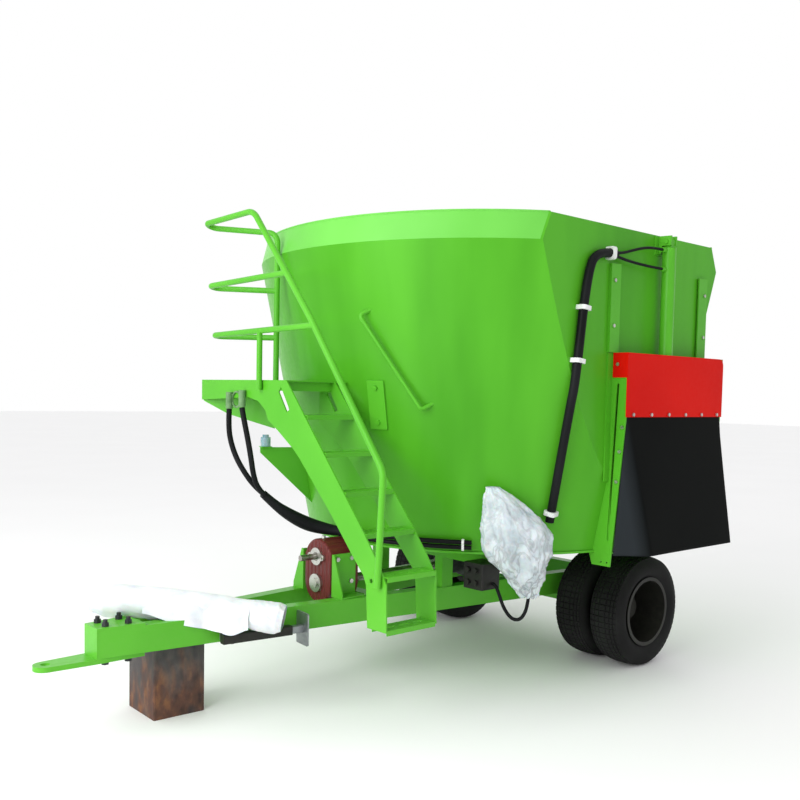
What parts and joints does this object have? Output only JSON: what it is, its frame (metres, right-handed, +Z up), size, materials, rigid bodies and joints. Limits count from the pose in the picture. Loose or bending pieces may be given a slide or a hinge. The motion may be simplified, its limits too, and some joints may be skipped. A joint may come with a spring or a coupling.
{
  "type": "vertical feed mixer wagon",
  "caption": "Towed feed mixer wagon: conical tub with upright auger, sliding side door with ram and rubber apron, ladder with railed platform, twin wheels and drawbar.",
  "frame": {"origin": "middle of the bounding box at ground level", "axes": "+X to the rear, away from the drawbar; +Y to the far side, away from the discharge; +Z up"},
  "size_m": [4.537, 2.896, 2.7427],
  "materials": {
    "green_paint": "gloss",
    "gearbox_red": "satin",
    "hood_red": "gloss",
    "apron_rubber": "matte",
    "black_rubber": "matte",
    "tyre_black": "matte",
    "zinc_bolts": "satin",
    "knife_steel": "satin",
    "cast_grey": "matte",
    "rim_black": "satin",
    "rod_chrome": "gloss",
    "jack_black": "satin",
    "jack_grey": "satin",
    "guard_plastic": "matte",
    "wrap_film": "gloss",
    "sack_film": "satin",
    "clear_plastic": "gloss",
    "rusty_steel": "matte"
  },
  "bodies": {
    "chassis": {"near_rail": "green_paint", "far_rail": "green_paint", "hitch_head": "green_paint", "hitch_tongue": "green_paint", "hitch_bolts": "zinc_bolts", "subframe": "green_paint", "gearbox_mount": "green_paint", "gearbox_housing": "gearbox_red", "gearbox_fittings": "gearbox_red", "axle": "green_paint", "tub_shell": "green_paint", "tub_floor": "green_paint", "rim_band": "green_paint", "discharge_panel": "green_paint", "discharge_sides": "green_paint", "door_guides": "green_paint", "panel_bolts": "zinc_bolts", "counter_knives": "green_paint", "grab_rod": "green_paint", "front_stringer": "green_paint", "rear_stringer": "green_paint", "ladder_steps": "green_paint", "platform_deck": "green_paint", "platform_frame": "green_paint", "handrail": "green_paint", "guard_rails": "green_paint", "bottle_bracket": "green_paint", "oil_bottle": "clear_plastic", "hose_holders": "zinc_bolts", "tub_hoses": "black_rubber", "loose_hoses": "black_rubber", "valve_block": "jack_black", "control_valve": "cast_grey", "valve_bag": "sack_film", "cylinder_bracket": "green_paint", "cylinder_barrel": "green_paint", "hood": "hood_red", "apron": "apron_rubber", "planetary_gearbox": "cast_grey", "jack_bracket": "jack_grey"},
    "auger": {"auger_core": "green_paint", "auger_flight": "green_paint", "auger_knives": "knife_steel"},
    "driveline": {"drive_shaft": "knife_steel"},
    "gearbox_input": {"input_shaft": "knife_steel"},
    "left_wheels": {"left_hub": "cast_grey", "left_rims": "rim_black", "left_tyres": "tyre_black", "left_wheel_nuts": "zinc_bolts"},
    "right_wheels": {"right_hub": "cast_grey", "right_rims": "rim_black", "right_tyres": "tyre_black", "right_wheel_nuts": "zinc_bolts"},
    "discharge_door": {"door": "green_paint", "cylinder_rod": "rod_chrome"},
    "jack": {"jack_tube": "jack_black"},
    "jack_foot": {"jack_leg": "jack_grey"},
    "joint_shaft": {"pto_shaft": "guard_plastic", "pto_film": "wrap_film"},
    "drawbar_block": {"support_block": "rusty_steel"}
  },
  "joints": [
    {"name": "auger_spin", "type": "hinge", "parent": "chassis", "child": "auger", "pos_m": [0.7765, -0.044, 1], "axis": [0, 0, 1], "continuous": true},
    {"name": "drive_spin", "type": "hinge", "parent": "chassis", "child": "driveline", "pos_m": [-0.0235, -0.044, 0.6], "axis": [1, 0, 0], "continuous": true},
    {"name": "input_spin", "type": "hinge", "parent": "chassis", "child": "gearbox_input", "pos_m": [-0.5235, -0.044, 0.757], "axis": [1, 0, 0], "continuous": true},
    {"name": "left_wheels_spin", "type": "hinge", "parent": "chassis", "child": "left_wheels", "pos_m": [1.2785, -0.839, 0.356], "axis": [0, 1, 0], "continuous": true},
    {"name": "right_wheels_spin", "type": "hinge", "parent": "chassis", "child": "right_wheels", "pos_m": [1.2785, 0.751, 0.356], "axis": [0, 1, 0], "continuous": true},
    {"name": "door_slide", "type": "slide", "parent": "chassis", "child": "discharge_door", "axis": [0, 0, 1], "range_m": [0, 0.64]},
    {"name": "jack_swing", "type": "hinge", "parent": "chassis", "child": "jack", "pos_m": [-1.2935, -0.2012, 0.43], "axis": [-0.1243, -0.9922, 0], "range_deg": [-90, 0]},
    {"name": "jack_leg_slide", "type": "slide", "parent": "jack", "child": "jack_foot", "axis": [0.9922, -0.1243, 0], "range_m": [0, 0.25]},
    {"name": "joint_shaft_lift", "type": "slide", "parent": "chassis", "child": "joint_shaft", "axis": [0, 0, 1], "range_m": [0, 0.4]},
    {"name": "block_pull", "type": "slide", "parent": "chassis", "child": "drawbar_block", "axis": [0, 1, 0], "range_m": [0, 0.9]}
  ],
  "couplings": [
    {"joint": "drive_spin", "follows": "auger_spin", "ratio": 11},
    {"joint": "input_spin", "follows": "auger_spin", "ratio": -19.342}
  ]
}
